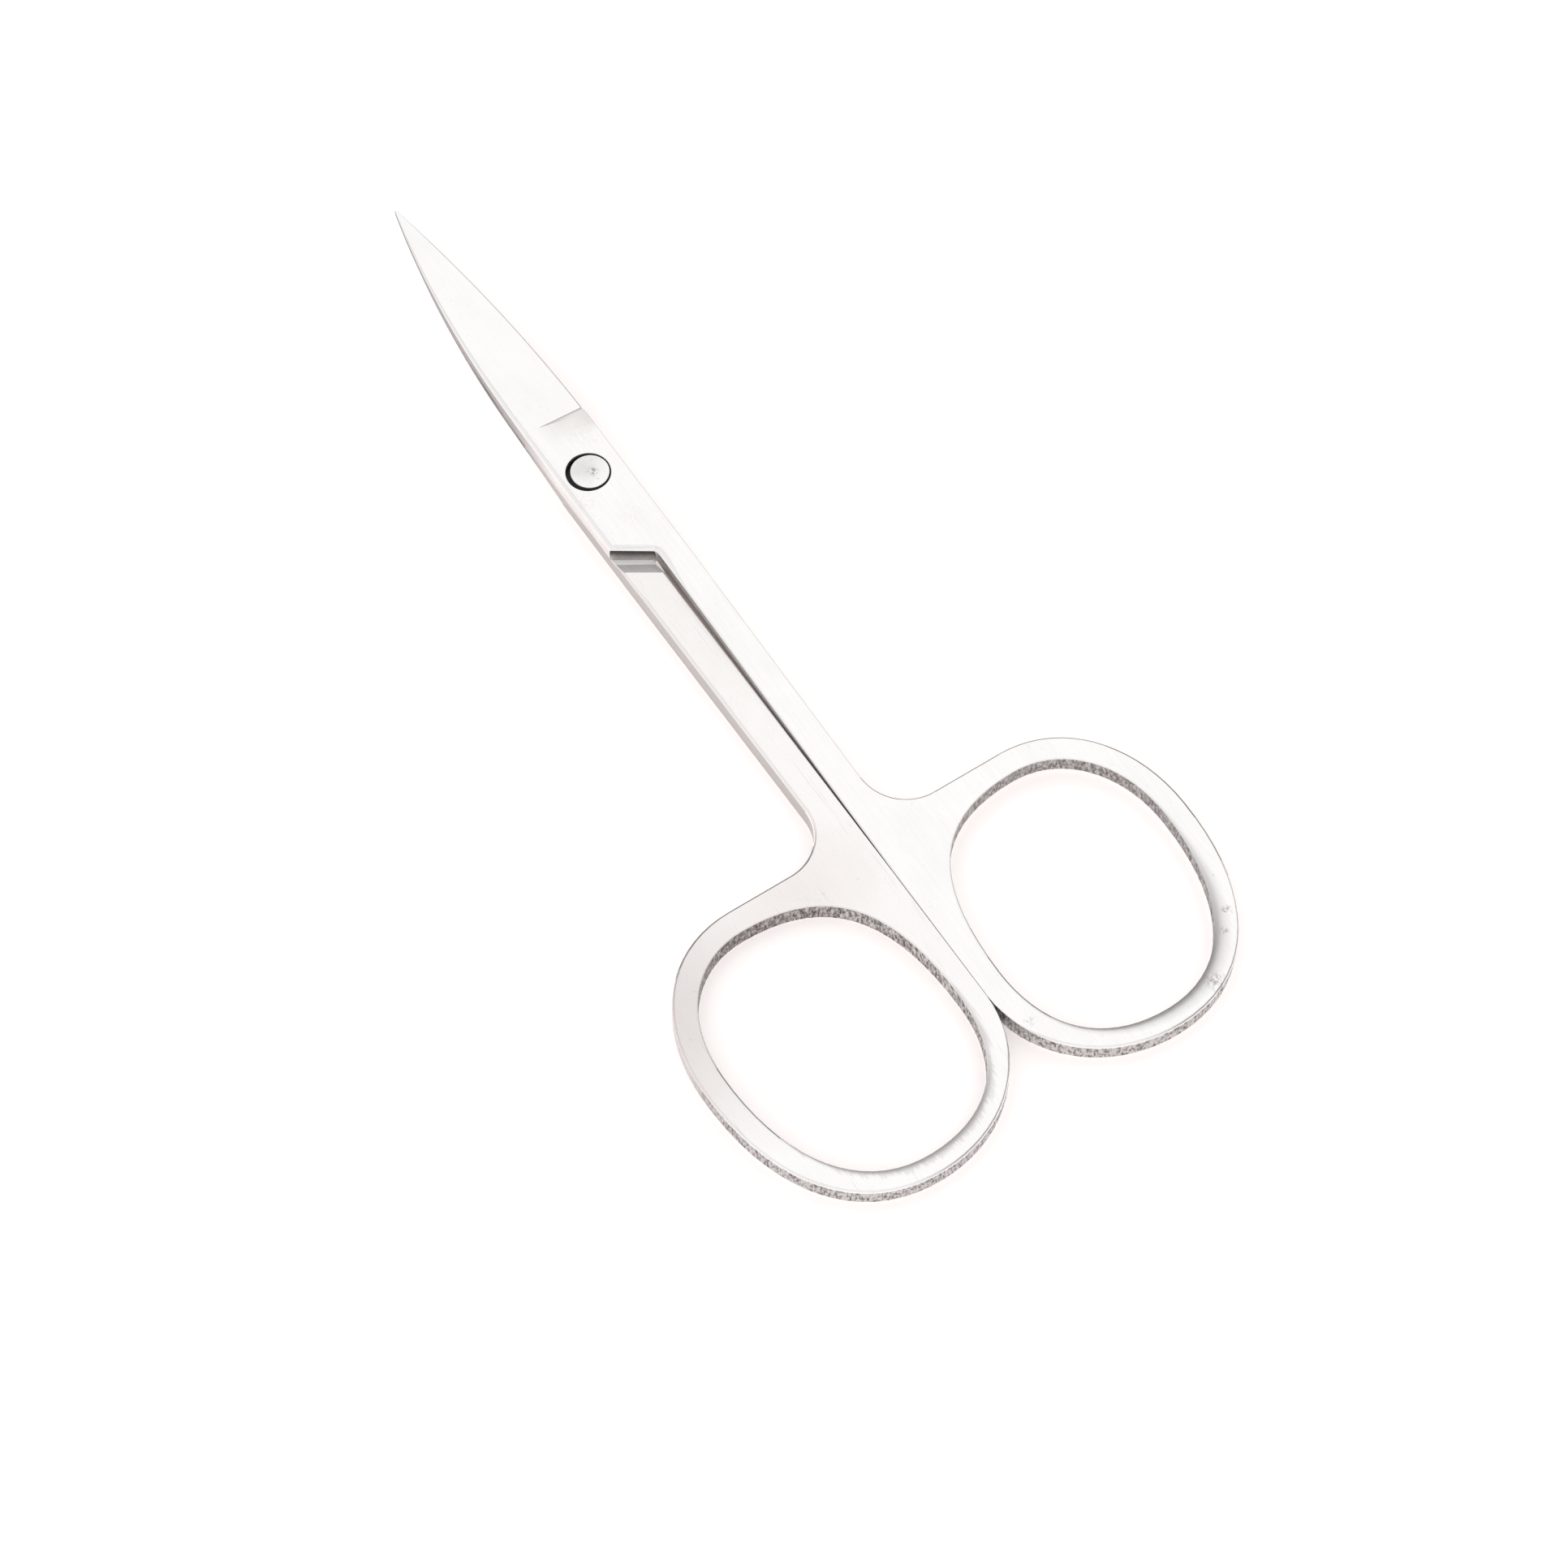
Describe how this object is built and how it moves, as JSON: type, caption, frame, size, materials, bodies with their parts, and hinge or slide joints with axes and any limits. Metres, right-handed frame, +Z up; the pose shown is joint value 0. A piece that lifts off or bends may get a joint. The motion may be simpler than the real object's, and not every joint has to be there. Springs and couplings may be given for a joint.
{
  "type": "eyebrow scissors",
  "caption": "Slim steel eyebrow scissors with pointed tapering blades, long straight shanks and oval finger rings, opening and closing on a flush pivot rivet.",
  "frame": {"origin": "on the pivot axis, in the plane of the lower half's underside, on which the closed scissors lie", "axes": "+Z up along the pivot axis, +Y along the closed blades towards the tips, +X towards the upper half's ring"},
  "size_m": [0.0415, 0.0918, 0.0029],
  "materials": {
    "satin_steel": "brushed along the length, with rougher sheared sides and rounded ring edges",
    "rivet_steel": "ground flat, a little darker and duller than the halves"
  },
  "bodies": {
    "lower": {"lower_half": "satin_steel", "pivot_rivet": "rivet_steel"},
    "upper": {"upper_half": "satin_steel"}
  },
  "joints": [
    {"name": "pivot", "type": "hinge", "parent": "lower", "child": "upper", "pos_m": [0, 0, 0], "axis": [0, 0, 1], "range_deg": [0, 140]}
  ]
}
